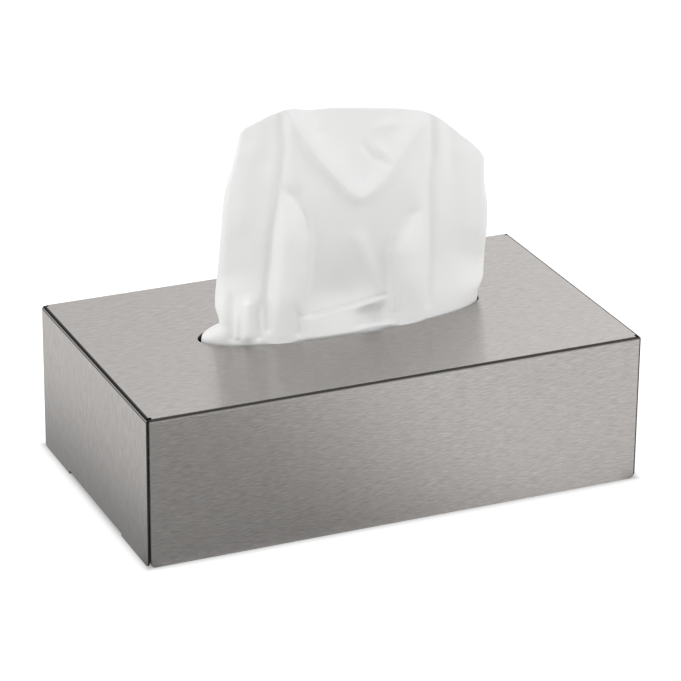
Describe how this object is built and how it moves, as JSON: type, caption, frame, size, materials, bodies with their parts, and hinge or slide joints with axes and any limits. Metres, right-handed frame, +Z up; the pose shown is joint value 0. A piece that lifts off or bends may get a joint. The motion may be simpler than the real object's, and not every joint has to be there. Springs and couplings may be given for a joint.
{
  "type": "tissue_box_cover",
  "caption": "Brushed steel tissue box cover with an oval slot, open folded corners and a white tissue standing out of it",
  "frame": {"origin": "middle of the base, on the surface it stands on", "axes": "+X along the front from left to right, +Y to the back, +Z up"},
  "size_m": [0.26, 0.15, 0.1918],
  "materials": {
    "cover_steel": "brushed, grain along the length on the top, front and back, upright on the ends",
    "plate_steel": "brushed",
    "pad_rubber": "matt",
    "tissue": "soft matt paper tissue"
  },
  "bodies": {
    "root": {"cover": "cover_steel", "base_plate": "plate_steel", "base_pads": "pad_rubber", "tissue_stack": "tissue", "tissue_sheet": "tissue"}
  },
  "joints": []
}
